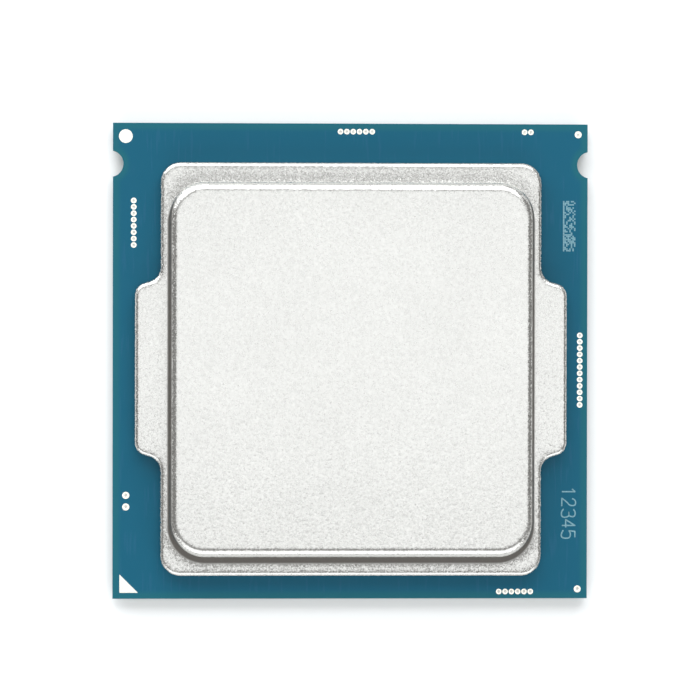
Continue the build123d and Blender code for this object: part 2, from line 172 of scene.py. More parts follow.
class LidSizes(bpy.types.PropertyGroup):
    """Sizes of the pressed heat spreader that its box doesn't give."""

    flange_width: length_prop("Flange width", "Width of the flange without its ears", 30.0)
    flange_top: length_prop("Flange top", "Height of the flange's upper face", 2.88)
    flange_corner: length_prop("Flange corner", "Radius of the flange's corners in plan", 1.6)
    flange_edge: length_prop("Flange edge", "Radius rolled on the flange's upper edge", 0.34)
    flange_crown: angle_prop("Flange crown", "Slope that the flange reaches before its rolled edge", 6)
    plateau_crown: angle_prop(
        "Plateau crown", "Slope that the plateau reaches before its rolled edge", 3.5)
    crown_radius: length_prop("Crown radius", "Large radius of the crown beside every rolled edge", 2.6)
    under_edge: length_prop("Under edge", "Radius of the flange's lower edge", 0.10)
    ear_root: length_prop("Ear root", "Half of an ear's length where it leaves the flange", 7.15)
    ear_tip: length_prop("Ear tip", "Half of an ear's length at its tip", 6.55)
    ear_root_radius: length_prop("Ear root radius", "Hollow radius between the flange and an ear", 1.15)
    ear_tip_radius: length_prop("Ear tip radius", "Radius of an ear's outer corners", 1.05)
    plateau_width: length_prop("Plateau width", "Width of the raised plateau", 28.55)
    plateau_length: length_prop("Plateau length", "Length of the raised plateau", 29.35)
    plateau_corner: length_prop("Plateau corner", "Radius of the plateau's corners in plan", 2.8)
    plateau_edge: length_prop("Plateau edge", "Radius rolled on the plateau's upper edge", 0.72)
    foot_slope: angle_prop("Foot slope", "Slope of the flange where it meets the plateau's wall", 10.75)
    foot_radius: length_prop(
        "Foot radius", "Large hollow radius of the flange beside the plateau's wall", 7.0)
    foot_lean: angle_prop("Foot lean", "How much steeper the foot is at -Y, and shallower at +Y", 2.75)
    foot_spread: length_prop(
        "Foot spread", "How much larger the foot's radius is at +Y, and smaller at -Y", 2.5)
    # The dull reach and shift place a rougher finish and painted shade at the foot of the plateau's wall.
    dull_shade_reach: length_prop(
        "Dull reach", "How far the dull finish runs out from the plateau's wall", 0.24)
    dull_shade_shift: length_prop("Dull shift", "How far the dull finish is shifted towards -Y", 0.42)
    cavity_width: length_prop("Cavity width", "Width of the hollow under the plateau", 24.0)
    cavity_length: length_prop("Cavity length", "Length of the hollow under the plateau", 26.0)
    cavity_corner: length_prop("Cavity corner", "Radius of the hollow's corners in plan", 2.0)


class FineSizes(bpy.types.PropertyGroup):
    """Sizes of the edges and hollows of the small pieces."""

    pad_dimple: length_prop("Pad dimple", "Radius of the filled via's dimple in each probe pad", 0.11)
    pad_dimple_depth: length_prop("Pad dimple depth", "Depth of the filled via's dimple", 0.013)
    pad_edge: length_prop("Pad edge", "Radius of the plated edge of each probe pad", 0.005)
    land_corner: length_prop("Land corner", "Radius of each land's corners in plan", 0.14)
    land_edge: length_prop("Land edge", "Radius of the plated edge of each land", 0.006)
    terminal_edge: length_prop("Terminal edge", "Radius of the edges of the capacitors' end caps", 0.035)
    ceramic_edge: length_prop("Ceramic edge", "Radius of the edges of the capacitors' bodies", 0.018)


class MarkSizes(bpy.types.PropertyGroup):
    """Sizes and places of the two laser marks on the board."""

    code_left: length_prop("Code left", "Left side of the cell pattern", 16.80)
    code_top: length_prop("Code top", "Upper side of the cell pattern", 12.70)
    code_cell: length_prop("Cell", "Side of one cell of the pattern", 0.125)
    code_columns: IntProperty(name="Columns", description="Cells across the pattern", default=8)
    code_rows: IntProperty(name="Rows", description="Cells down the pattern", default=32)
    code_seed: IntProperty(name="Seed", description="Seed of the pattern's meaningless cells", default=11)
    digits: StringProperty(name="Digits", description="Plain digits of the number mark", default="12345")
    digits_foot: length_prop("Digits foot", "Place across the board of the digits' foot line", 16.76)
    digits_top: length_prop("Digits start", "Place along the board where the digits start", -10.00)
    digits_height: length_prop("Digit height", "Height of a digit", 1.04)
    digits_pitch: length_prop("Digit pitch", "Distance from one digit to the next", 0.84)
    stroke: length_prop("Stroke", "Width of a digit's stroke", 0.11)
    depth: length_prop("Depth", "Thickness of the frosted skin that stands for a mark", 0.002)


class FinishColours(bpy.types.PropertyGroup):
    """The main colours of the finishes."""

    mask: colour_prop("Solder mask", "Mask over copper", "#0C556C")
    mask_rim: colour_prop(
        "Mask rim", "Mask along the board's edge, where the copper stops short", "#165C69")
    mask_trace: colour_prop("Mask over traces", "Mask where it is thin over a trace", "#175770")
    nickel: colour_prop("Nickel", "Nickel plate of the heat spreader", "#CCCAC5")
    # Painted shade: a dark nickel colour for the foot of the plateau's wall.
    nickel_painted_shade: colour_prop(
        "Dull nickel", "Nickel plate at the foot of the wall, which tumbling misses", "#6A6661")
    gold: colour_prop("Gold", "Thin gold over nickel", "#F8F2E4")
    laminate: colour_prop("Laminate", "Resin of the sawn glass-cloth core", "#8E8A55")
    mark: colour_prop("Mark", "Mask frosted by the laser", "#7FA9B4")


class StudioSettings(bpy.types.PropertyGroup):
    """Camera and lights."""

    camera_place: FloatVectorProperty(
        name="Camera place", description="Camera, a little to the left of straight above the board",
        subtype="TRANSLATION", size=3, default=(-12.6 * MM, 3.0 * MM, 300.0 * MM),
    )
    camera_aim: FloatVectorProperty(
        name="Camera aim", description="Point on the board's top face that the camera looks at",
        subtype="TRANSLATION", size=3, default=(-0.045 * MM, 0.88 * MM, BOARD_TOP),
    )
    camera_roll: angle_prop("Camera roll", "Turn of the camera about its line of sight", 0.10)
    lens: FloatProperty(name="Lens", description="Focal length on a 36 mm sensor", default=194.7)
    floor: colour_prop("Floor", "Colour of the pale floor", "#F4F4F3")


# ================================================================ materials
def add_node(owner, kind, settings=None, links=None, stops=None):
    """Adds a shader node to a material or a world, with its settings, ramp stops and links."""
    node = owner.node_tree.nodes.new("ShaderNode" + kind)
    own = {name for name in settings or {} if hasattr(node, str(name))}
    for name in own:
        setattr(node, name, settings[name])
    for name, value in (settings or {}).items():
        if name not in own:
            node.inputs[name].default_value = value
    for name, socket in (links or {}).items():
        owner.node_tree.links.new(socket, node.inputs[name])
    for index, (place, colour) in enumerate(stops or []):
        elements = node.color_ramp.elements
        element = elements[index] if index < len(elements) else elements.new(place)
        element.position = place
        element.color = colour
    return node


def grey(value):
    """A neutral colour, for a ramp that drives a number."""
    return (value, value, value, 1.0)


def darker(colour, share):
    """A colour with its red, green and blue brought down to a share."""
    return [channel * share for channel in colour[:3]] + [1.0]


def start_material(name):
    """An empty node material with its output, and the piece's own coordinates in metres."""
    material = bpy.data.materials.new(name)
    material.use_nodes = True
    material.node_tree.nodes.clear()
    place = add_node(material, "TexCoord").outputs["Object"]
    return material, place


def finish_material(material, settings, links):
    """Ends a material with its one surface shader."""
    shader = add_node(material, "BsdfPrincipled", settings, links)
    add_node(material, "OutputMaterial", links={"Surface": shader.outputs["BSDF"]})
    return material


def nickel_plate(scene):
    """Copper pressed to shape, tumbled, then plated with satin nickel.

    Tumbling leaves grains that each lean their own way, most on the steep sides that face along X
    and least on the lapped top. The foot of the plateau's wall is rougher and darkened with painted
    shade, a little more to -Y, and higher up on the two sides that face along X.
    """
    colours, lid = scene.processor_colours, scene.processor_lid
    # The real grains are finer, and are drawn as wide as they need to be to show.
    grain, pebble, cloud = 0.085 * MM, 0.24 * MM, 6.0 * MM
    side_climb, scuff, dull_shade_core = 0.35, 0.25, 0.2
    material, place = start_material("satin_nickel_plate")
    axes = add_node(material, "SeparateXYZ", links={"Vector": place})
    height = add_node(material, "MapRange", {"From Min": lid.flange_top, "From Max": LID_HIGH.z},
                      {"Value": axes.outputs["Z"]})
    facing = add_node(material, "SeparateXYZ",
                      links={"Vector": add_node(material, "NewGeometry").outputs["Normal"]})
    beside = add_node(material, "Math", {"operation": "ABSOLUTE"}, {0: facing.outputs["X"]})
    tilt = add_node(material, "ValToRGB", links={"Fac": height.outputs["Result"]},
                    stops=[(0.30, grey(0.11)), (0.50, grey(0.09)), (0.96, grey(0.09)), (1.0, grey(0.065))])
    scuffed = add_node(material, "MapRange", {"From Min": 0.22, "From Max": 0.5, "To Max": scuff},
                       {"Value": beside.outputs[0]})
    unrest = add_node(material, "Math", {"operation": "ADD"},
                      {0: tilt.outputs["Color"], 1: scuffed.outputs["Result"]})
    # The rougher finish and the painted shade climb higher on the sides that face along X.
    climb = add_node(material, "Math", {"operation": "MULTIPLY_ADD", 1: -side_climb},
                     {0: beside.outputs[0], 2: height.outputs["Result"]})
    low = add_node(material, "ValToRGB", links={"Fac": climb.outputs[0]},
                   stops=[(0.56, grey(1.0)), (0.68, grey(0.0))])
    # The painted shade at the wall's foot is centred a little towards -Y, where the plateau shades the
    # flange.
    centre = (0.0, (LID_LOW.y + LID_HIGH.y) / 2 - lid.dull_shade_shift, 0.0)
    corner = Vector((lid.plateau_width, lid.plateau_length)) / 2 - Vector((1, 1)) * lid.plateau_corner
    flat = add_node(material, "CombineXYZ", links={"X": axes.outputs["X"], "Y": axes.outputs["Y"]})
    moved = add_node(material, "VectorMath", {"operation": "SUBTRACT", 1: centre},
                     {0: flat.outputs["Vector"]})
    folded = add_node(material, "VectorMath", {"operation": "ABSOLUTE"}, {0: moved.outputs["Vector"]})
    past = add_node(material, "VectorMath", {"operation": "SUBTRACT", 1: (*corner, 0.0)},
                    {0: folded.outputs["Vector"]})
    beyond = add_node(material, "VectorMath", {"operation": "MAXIMUM", 1: (0.0, 0.0, 0.0)},
                      {0: past.outputs["Vector"]})
    away = add_node(material, "VectorMath", {"operation": "LENGTH"}, {0: beyond.outputs["Vector"]})
    near = add_node(material, "MapRange",
                    {"interpolation_type": "SMOOTHSTEP", "From Min": lid.plateau_corner + lid.dull_shade_reach,
                     "From Max": lid.plateau_corner + dull_shade_core * lid.dull_shade_reach},
                    {"Value": away.outputs["Value"]})
    # Mask of the wall's foot, for a rougher finish and painted shade.
    dull_and_shade = add_node(material, "Math", {"operation": "MULTIPLY"},
                    {0: near.outputs["Result"], 1: low.outputs["Color"]})
    pebbles = add_node(material, "TexNoise", {"Scale": 1 / pebble, "Detail": 2.0}, {"Vector": place})
    stain = add_node(material, "TexNoise", {"Scale": 1 / cloud, "Detail": 3.0}, {"Vector": place})
    facets = add_node(material, "TexVoronoi", {"Scale": 1 / grain}, {"Vector": place})
    tint = add_node(material, "ValToRGB", links={"Fac": stain.outputs["Fac"]},
                    stops=[(0.35, darker(colours.nickel, 0.975)),
                           (0.65, colours.nickel)])
    # Painted shade: the dark nickel colour laid over the foot of the wall.
    tone = add_node(material, "Mix", {"data_type": "RGBA", 7: colours.nickel_painted_shade},
                    {0: dull_and_shade.outputs[0], 6: tint.outputs["Color"]})
    rough = add_node(material, "ValToRGB", links={"Fac": pebbles.outputs["Fac"]},
                     stops=[(0.3, grey(0.23)), (0.7, grey(0.29))])
    duller = add_node(material, "Mix", {"data_type": "RGBA", 7: grey(0.5)},
                      {0: dull_and_shade.outputs[0], 6: rough.outputs["Color"]})
    relief = add_node(material, "Bump", {"Strength": 1.0, "Distance": 0.010 * MM},
                      {"Height": pebbles.outputs["Fac"]})
    centred = add_node(material, "VectorMath", {"operation": "SUBTRACT", 1: (0.5, 0.5, 0.5)},
                       {0: facets.outputs["Color"]})
    tilted = add_node(material, "VectorMath", {"operation": "SCALE"},
                      {0: centred.outputs["Vector"], "Scale": unrest.outputs[0]})
    leaning = add_node(material, "VectorMath", {"operation": "ADD"},
                       {0: relief.outputs["Normal"], 1: tilted.outputs["Vector"]})
    normal = add_node(material, "VectorMath", {"operation": "NORMALIZE"}, {0: leaning.outputs["Vector"]})
    return finish_material(material, {"Metallic": 1.0},
                           {"Base Color": tone.outputs[2], "Roughness": duller.outputs[2],
                            "Normal": normal.outputs["Vector"]})


def gold_plate(scene):
    """Immersion gold a fraction of a micrometre thick on electroless nickel.

    So thin a gold is pale and bright, and keeps the faint nodules of the nickel under it.
    """
    colours, nodule = scene.processor_colours, 0.05 * MM
    material, place = start_material("immersion_gold")
    grain = add_node(material, "TexNoise", {"Scale": 1 / nodule, "Detail": 2.0}, {"Vector": place})
    wear = add_node(material, "TexNoise", {"Scale": 1 / (2.5 * MM), "Detail": 2.0}, {"Vector": place})
    rough = add_node(material, "ValToRGB", links={"Fac": grain.outputs["Fac"]},
                     stops=[(0.3, grey(0.22)), (0.7, grey(0.34))])
    tint = add_node(material, "ValToRGB", links={"Fac": wear.outputs["Fac"]},
                    stops=[(0.3, darker(colours.gold, 0.93)), (0.7, colours.gold)])
    bump = add_node(material, "Bump", {"Strength": 1.0, "Distance": 0.0012 * MM},
                    {"Height": grain.outputs["Fac"]})
    return finish_material(material, {"Metallic": 1.0},
                           {"Base Color": tint.outputs["Color"], "Roughness": rough.outputs["Color"],
                            "Normal": bump.outputs["Normal"]})


def solder_mask(scene):
    """Liquid epoxy solder mask, dyed blue-green, coated over copper and cured.

    Light returns from the copper under it, so it is bluer there and greener along the rim where the
    copper stops short. It flows in low waves, and thins over the traces.
    """
    colours = scene.processor_colours
    trace_width, trace_run, wave = 0.24 * MM, 3.2 * MM, 1.4 * MM
    material, place = start_material("epoxy_solder_mask")
    axes = add_node(material, "SeparateXYZ", links={"Vector": place})
    across = add_node(material, "Math", {"operation": "ABSOLUTE"}, {0: axes.outputs["X"]})
    along = add_node(material, "Math", {"operation": "ABSOLUTE"}, {0: axes.outputs["Y"]})
    edge = add_node(material, "Math", {"operation": "MAXIMUM"},
                    {0: across.outputs[0], 1: along.outputs[0]})
    rim = add_node(material, "MapRange",
                   {"interpolation_type": "SMOOTHSTEP", "From Min": BOARD_HALF - 0.75 * MM,
                    "From Max": BOARD_HALF - 0.25 * MM},
                   {"Value": edge.outputs[0]})
    folded = add_node(material, "CombineXYZ", links={"X": across.outputs[0], "Y": axes.outputs["Y"]})
    from_notch = add_node(material, "VectorMath", {"operation": "DISTANCE", 1: NOTCH_CENTRE},
                          {0: folded.outputs["Vector"]})
    by_notch = add_node(material, "MapRange",
                        {"interpolation_type": "SMOOTHSTEP", "From Min": NOTCH_RADIUS + 0.65 * MM,
                         "From Max": NOTCH_RADIUS + 0.2 * MM},
                        {"Value": from_notch.outputs["Value"]})
    bare = add_node(material, "Math", {"operation": "MAXIMUM"},
                    {0: rim.outputs["Result"], 1: by_notch.outputs["Result"]})
    stretched = add_node(material, "Mapping", {"Scale": (1 / trace_width, 1 / trace_run, 1.0)},
                         {"Vector": place})
    tracks = add_node(material, "TexNoise", {"Scale": 1.0, "Detail": 1.0, "Roughness": 0.4},
                      {"Vector": stretched.outputs["Vector"]})
    trace = add_node(material, "ValToRGB", links={"Fac": tracks.outputs["Fac"]},
                     stops=[(0.60, grey(0.0)), (0.70, grey(1.0))])
    over_copper = add_node(material, "Mix",
                           {"data_type": "RGBA", 6: colours.mask, 7: colours.mask_trace},
                           {0: trace.outputs["Color"]})
    tone = add_node(material, "Mix", {"data_type": "RGBA", 7: colours.mask_rim},
                    {0: bare.outputs[0], 6: over_copper.outputs[2]})
    waves = add_node(material, "TexNoise", {"Scale": 1 / wave, "Detail": 2.0}, {"Vector": place})
    rough = add_node(material, "ValToRGB", links={"Fac": waves.outputs["Fac"]},
                     stops=[(0.3, grey(0.30)), (0.7, grey(0.38))])
    low = add_node(material, "Bump", {"Strength": 1.0, "Distance": 0.004 * MM},
                   {"Height": waves.outputs["Fac"]})
    high = add_node(material, "Bump", {"Strength": 1.0, "Distance": 0.003 * MM},
                    {"Height": trace.outputs["Color"], "Normal": low.outputs["Normal"]})
    return finish_material(material, {"IOR": 1.25},
                           {"Base Color": tone.outputs[2], "Roughness": rough.outputs["Color"],
                            "Normal": high.outputs["Normal"]})


def laser_frost(scene):
    """Solder mask frosted by a marking laser: each shot leaves a pale, matt, slightly uneven dot."""
    colours, shot = scene.processor_colours, 0.05 * MM
    material, place = start_material("laser_frosted_mask")
    dots = add_node(material, "TexNoise", {"Scale": 1 / shot, "Detail": 1.0}, {"Vector": place})
    tint = add_node(material, "ValToRGB", links={"Fac": dots.outputs["Fac"]},
                    stops=[(0.35, darker(colours.mark, 0.6)), (0.62, colours.mark)])
    return finish_material(material, {"Roughness": 0.75, "IOR": 1.4},
                           {"Base Color": tint.outputs["Color"]})


def glass_epoxy(scene):
    """Glass cloth in epoxy, pressed and sawn.

    The sawn edge shows the cloth's plies as thin pale bands with the warp and weft ends as dots.
    """
    colours = scene.processor_colours
    ply, yarn = 0.1 * MM, 0.35 * MM
    material, place = start_material("sawn_glass_epoxy")
    stretched = add_node(material, "Mapping", {"Scale": (1 / yarn, 1 / yarn, 1 / ply)},
                         {"Vector": place})
    weave = add_node(material, "TexNoise", {"Scale": 1.0, "Detail": 2.0}, {"Vector": stretched.outputs[0]})
    tint = add_node(material, "ValToRGB", links={"Fac": weave.outputs["Fac"]},
                    stops=[(0.35, darker(colours.laminate, 0.62)),
                           (0.65, colours.laminate)])
    bump = add_node(material, "Bump", {"Strength": 1.0, "Distance": 0.012 * MM},
                    {"Height": weave.outputs["Fac"]})
    return finish_material(material, {"Roughness": 0.62, "IOR": 1.5},
                           {"Base Color": tint.outputs["Color"], "Normal": bump.outputs["Normal"]})


def speckled(name, dark, light, speck, roughness, height, metallic=0.0):
    """A finish of two close tones in specks of a real size, with a relief of the same specks."""
    material, place = start_material(name)
    grain = add_node(material, "TexNoise", {"Scale": 1 / (speck * MM), "Detail": 3.0}, {"Vector": place})
    tint = add_node(material, "ValToRGB", links={"Fac": grain.outputs["Fac"]},
                    stops=[(0.35, linear(dark)), (0.65, linear(light))])
    rough = add_node(material, "ValToRGB", links={"Fac": grain.outputs["Fac"]},
                     stops=[(0.3, grey(roughness[0])), (0.7, grey(roughness[1]))])
    bump = add_node(material, "Bump", {"Strength": 1.0, "Distance": height * MM},
                    {"Height": grain.outputs["Fac"]})
    return finish_material(material, {"Metallic": metallic},
                           {"Base Color": tint.outputs["Color"], "Roughness": rough.outputs["Color"],
                            "Normal": bump.outputs["Normal"]})


# Slots whose finish is speckled: name, dark, light, speck, roughness, relief, metallic.
SPECKLED = {
    # Gold in each pad's dimple, greyer and rougher: painted shade in the recess.
    "dimple_shaded_gold": ("gold_dimple_painted_shade", "#BDBBB4", "#D3D1CA", 0.02, (0.42, 0.55), 0.002, 1.0),
    # Silica-filled epoxy film, laminated and cured: a dull grey-green edge with fine filler.
    "build_up_resin": ("silica_filled_epoxy", "#2F4A45", "#3E5C55", 0.03, (0.45, 0.60), 0.002, 0.0),
    # Rolled copper foil, micro-etched so that resin holds to it: pink and matt.
    "copper_foil": ("etched_copper_foil", "#B5714F", "#C98C68", 0.02, (0.35, 0.50), 0.001, 1.0),
    # Barium titanate ceramic, pressed and fired: brown, close-grained and slightly waxy.
    "capacitor_ceramic": ("fired_titanate_ceramic", "#6A5642", "#8C765B", 0.03, (0.38, 0.52), 0.0015, 0.0),
    # Electroplated tin: white, matt and crystalline.
    "tin_plating": ("matt_tin_plate", "#B9B9B6", "#D2D2CF", 0.025, (0.32, 0.48), 0.0025, 1.0),
    # Tin-silver-copper solder, reflowed: brighter and smoother than plated tin.
    "solder_alloy": ("reflowed_solder", "#B4B6B8", "#CFD0D1", 0.06, (0.16, 0.30), 0.002, 1.0),
    # Monocrystalline silicon, ground and polished: dark and nearly a mirror.
    "silicon": ("ground_silicon", "#2B2D33", "#33363D", 0.2, (0.10, 0.20), 0.0003, 0.0),
    # Capillary underfill, black epoxy with silica filler: cures glossy.
    "underfill_epoxy": ("capillary_underfill", "#141416", "#1E1E21", 0.05, (0.25, 0.40), 0.001, 0.0),
    # Thermal compound, a filled grease pressed thin: grey and matt.
    "thermal_compound": ("thermal_grease", "#858686", "#9A9B9B", 0.08, (0.50, 0.70), 0.004, 0.0),
    # Silicone adhesive, dispensed as a bead and cured: black with a soft sheen.
    "sealant": ("cured_silicone", "#101010", "#191919", 0.1, (0.40, 0.55), 0.003, 0.0),
}
FINISHES = {
    "nickel_plated_copper": nickel_plate,
    "gold_plating": gold_plate,
    "solder_mask": solder_mask,
    "glass_epoxy_laminate": glass_epoxy,
    "laser_mark": laser_frost,
}
MADE = {}


def finish_of(context, slot):
    """The material for a slot or a finish of its own, made the first time it is asked for."""
    if slot not in MADE:
        maker = FINISHES.get(slot)
        MADE[slot] = maker(context.scene) if maker else speckled(*SPECKLED[slot])
    return MADE[slot]


# ================================================================ mesh making
def new_piece(context, name, bm, slot, replaced=(), finish=None, smooth_angle=SMOOTH_ANGLE):
    """Turns a bmesh into a piece that rides on the body and stands for the CAD nodes it replaces."""
    mesh = bpy.data.meshes.new(name)
    bmesh.ops.recalc_face_normals(bm, faces=bm.faces)
    bm.to_mesh(mesh)
    bm.free()
    if smooth_angle is not None:
        mesh.polygons.foreach_set("use_smooth", [True] * len(mesh.polygons))
        mesh.set_sharp_from_angle(angle=smooth_angle)
    mesh.materials.append(finish_of(context, finish or slot))
    piece = bpy.data.objects.new(name, mesh)
    context.scene.collection.objects.link(piece)
    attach(piece, BODY)
    if replaced:
        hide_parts(*replaced)
    return piece


def outline_of(corners, radii):
    """A closed outline with round corners, as points with outward normals, anticlockwise."""
    made = []
    count = len(corners)
    for i in range(count):
        before, corner, after = (Vector(corners[j % count]) for j in (i - 1, i, i + 1))
        entry, leave = (corner - before).normalized(), (after - corner).normalized()
        turn = math.atan2(entry.cross(leave), entry.dot(leave))
        side = math.copysign(1, turn)
        spoke = Vector((entry.y, -entry.x)) * side
        start = corner - entry * radii[i] * abs(math.tan(turn / 2))
        centre = start - spoke * radii[i]
        parts = math.ceil(abs(turn) / CORNER_STEP)
        for k in range(parts + 1):
            turned = Matrix.Rotation(turn * k / parts, 2) @ spoke
            made.append((centre + turned * radii[i], turned * side))
    return made


def rounded_rectangle(width, length, radius, centre_y):
    """Outline of a rectangle with round corners, centred at X = 0."""
    x, y = width / 2, length / 2
    corners = [(x, centre_y - y), (x, centre_y + y), (-x, centre_y + y), (-x, centre_y - y)]
    return outline_of(corners, [radius] * 4)


def ring(bm, outline, inset, z):
    """Vertices along an outline moved inwards by a distance, at a height."""
    return [bm.verts.new((*(point - normal * inset), z)) for point, normal in outline]


def stack(bm, outline, levels):
    """Rings of an outline at each (inset, height), joined by quads."""
    rings = [ring(bm, outline, inset, z) for inset, z in levels]
    bridge(bm, rings)
    return rings


def bridge(bm, rings):
    """Quads between each ring and the next."""
    for here, there in zip(rings, rings[1:]):
        for i in range(len(here)):
            j = (i + 1) % len(here)
            bm.faces.new((here[i], here[j], there[j], there[i]))


def on_same_rays(outlines, centre):
    """Samples outlines on rays from a centre through the points of them all, so the points pair up."""
    polar = []
    for outline in outlines:
        places = [(point - centre, normal) for point, normal in outline]
        polar.append(sorted((math.atan2(place.y, place.x), *place, *normal) for place, normal in places))
    rays = sorted({round(entry[0], 6) for entries in polar for entry in entries})
    made = []
    for entries in polar:
        starts = [entry[0] for entry in entries]
        sampled = []
        for ray in rays:
            after = bisect.bisect_right(starts, ray)
            before, after = entries[after - 1], entries[after % len(entries)]
            along = Vector((math.cos(ray), math.sin(ray)))
            miss, other = Vector(before[1:3]).cross(along), Vector(after[1:3]).cross(along)
            part = miss / (miss - other) if miss != other else 0.0
            place = Vector(before[1:3]).lerp(Vector(after[1:3]), part)
            normal = Vector(before[3:5]).lerp(Vector(after[3:5]), part).normalized()
            sampled.append((place + centre, normal))
        made.append(sampled)
    return made


def crown(distance, radius, reach):
    """How far an arc of a large radius that starts a reach away has turned down or up at a distance."""
    into = max(reach - distance, 0.0)
    return radius - math.sqrt(radius * radius - into * into)


def arc(centre_inset, centre_z, radius, start, end):
    """(inset, height) pairs on an arc in the plane of a wall's section, between angles in degrees."""
    parts = max(math.ceil(abs(end - start) / SECTION_STEP), 3)
    angles = [math.radians(start + (end - start) * k / parts) for k in range(parts + 1)]
    return [(centre_inset + radius * math.cos(t), centre_z + radius * math.sin(t)) for t in angles]


def rolled_edge(top, radius, slope, crown_radius):
    """Levels from an upright wall over a rolled edge, up to where the gentle crown starts."""
    middle = top - crown_radius * (1 - math.cos(slope)) - radius * math.cos(slope)
    return arc(radius, middle, radius, 180, 90 + math.degrees(slope))


def solids_of(node):
    """Lowest and highest corner of each separate solid of a CAD node, in the order it holds them."""
    bm = welded(node)
    made, seen = [], set()
    for first in bm.verts:
        if first in seen:
            continue
        island, queue = [], [first]
        seen.add(first)
        while queue:
            vert = queue.pop()
            island.append(vert.co)
            for edge in vert.link_edges:
                other = edge.other_vert(vert)
                if other not in seen:
                    seen.add(other)
                    queue.append(other)
        low = Vector([min(co[axis] for co in island) for axis in range(3)])
        high = Vector([max(co[axis] for co in island) for axis in range(3)])
        made.append((low, high))
    bm.free()
    return made


def welded(node):
    """A CAD node's mesh with the vertices that its faces share joined, and its flat faces whole."""
    bm = bmesh.new()
    bm.from_mesh(NODES[node].data)
    bmesh.ops.remove_doubles(bm, verts=bm.verts, dist=WELD)
    bmesh.ops.dissolve_limit(bm, angle_limit=FLAT_ANGLE, verts=bm.verts, edges=bm.edges)
    return bm


def round_edges(bm, edges, radius, segments):
    """Rounds edges of a bmesh to a radius."""
    bmesh.ops.bevel(bm, geom=edges, offset=radius, offset_type="OFFSET", segments=segments,
                    profile=0.5, affect="EDGES", clamp_overlap=True)


def is_upright(edge):
    """Whether an edge stands along Z."""
    along = edge.verts[1].co - edge.verts[0].co
    return abs(along.z) > 0.99 * along.length


# ================================================================ pieces
class PROCESSOR_OT_finishes(bpy.types.Operator):
    """Give every carried-over solid the finish of its slot"""

    bl_idname = "processor.finishes"
    bl_label = "Finishes"

    def execute(self, context):
        for subpart in frame["record"]["subparts"]:
            material = finish_of(context, subpart["material_slot"])
            for slot in NODES[subpart["node"]].material_slots:
                slot.material = material
        return {"FINISHED"}


class PROCESSOR_OT_heat_spreader(bpy.types.Operator):
    """Build the pressed heat spreader: flange with two ears, plateau with rolled edges, and hollow"""

    bl_idname = "processor.heat_spreader"
    bl_label = "Heat spreader"

    def execute(self, context):
        lid = context.scene.processor_lid
        middle = (LID_LOW.y + LID_HIGH.y) / 2
        x, y = lid.flange_width / 2, (LID_HIGH.y - LID_LOW.y) / 2
        quarter = [((x, y), lid.flange_corner), ((x, lid.ear_root), lid.ear_root_radius),
                   ((LID_HIGH.x, lid.ear_tip), lid.ear_tip_radius)]
        right = [((px, -py), r) for (px, py), r in quarter]
        right += reversed(quarter)
        left = [((-px, py), r) for (px, py), r in reversed(right)]
        whole = [((px, py + middle), r) for (px, py), r in right + left]
        flange = outline_of([corner for corner, _ in whole], [radius for _, radius in whole])
        plateau = rounded_rectangle(lid.plateau_width, lid.plateau_length, lid.plateau_corner, middle)
        hollow = rounded_rectangle(lid.cavity_width, lid.cavity_length, lid.cavity_corner, middle)
        flange, plateau, hollow = on_same_rays((flange, plateau, hollow), Vector((0, middle)))
        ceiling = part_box("thermal_compound")[1].z
        edge, under, top, large = lid.flange_edge, lid.under_edge, lid.plateau_edge, lid.crown_radius

        bm = bmesh.new()
        levels = [(under + HOLD, LID_LOW.z)]
        levels += arc(under, LID_LOW.z + under, under, 270, 180)
        levels += rolled_edge(lid.flange_top, edge, lid.flange_crown, large)
        outside = stack(bm, flange, levels)
        start, rings = levels[-1][0], [outside[-1]]
        reach = start + large * math.sin(lid.flange_crown)
        for k in range(1, FLANGE_RINGS + 1):
            part = (1 - math.cos(math.pi * k / FLANGE_RINGS)) / 2
            placed = []
            for (rim, out), (wall, back) in zip(flange, plateau):
                spot = (rim - out * start).lerp(wall, part)
                height = lid.flange_top - crown((rim - spot).dot(out), large, reach)
                radius = lid.foot_radius + lid.foot_spread * back.y
                slope = lid.foot_slope - lid.foot_lean * back.y
                height += crown((spot - wall).dot(back), radius, radius * math.sin(slope))
                placed.append(bm.verts.new((*spot, height)))
            rings.append(placed)
        bridge(bm, rings)
        levels = rolled_edge(LID_HIGH.z, top, lid.plateau_crown, large)
        start = levels[-1][0]
        reach = start + large * math.sin(lid.plateau_crown)
        for k in range(1, CROWN_RINGS + 1):
            inset = start + (reach - start) * k / CROWN_RINGS
            levels.append((inset, LID_HIGH.z - crown(inset, large, reach)))
        raised = stack(bm, plateau, levels + [(reach + HOLD, LID_HIGH.z)])
        inside = stack(bm, hollow, [(0, LID_LOW.z), (0, ceiling)])
        bridge(bm, [rings[-1], raised[0]])
        bridge(bm, [outside[0], inside[0]])
        bm.faces.new(raised[-1])
        bm.faces.new(inside[-1])
        new_piece(context, "pressed_heat_spreader", bm, "nickel_plated_copper", ["heat_spreader"])
        return {"FINISHED"}


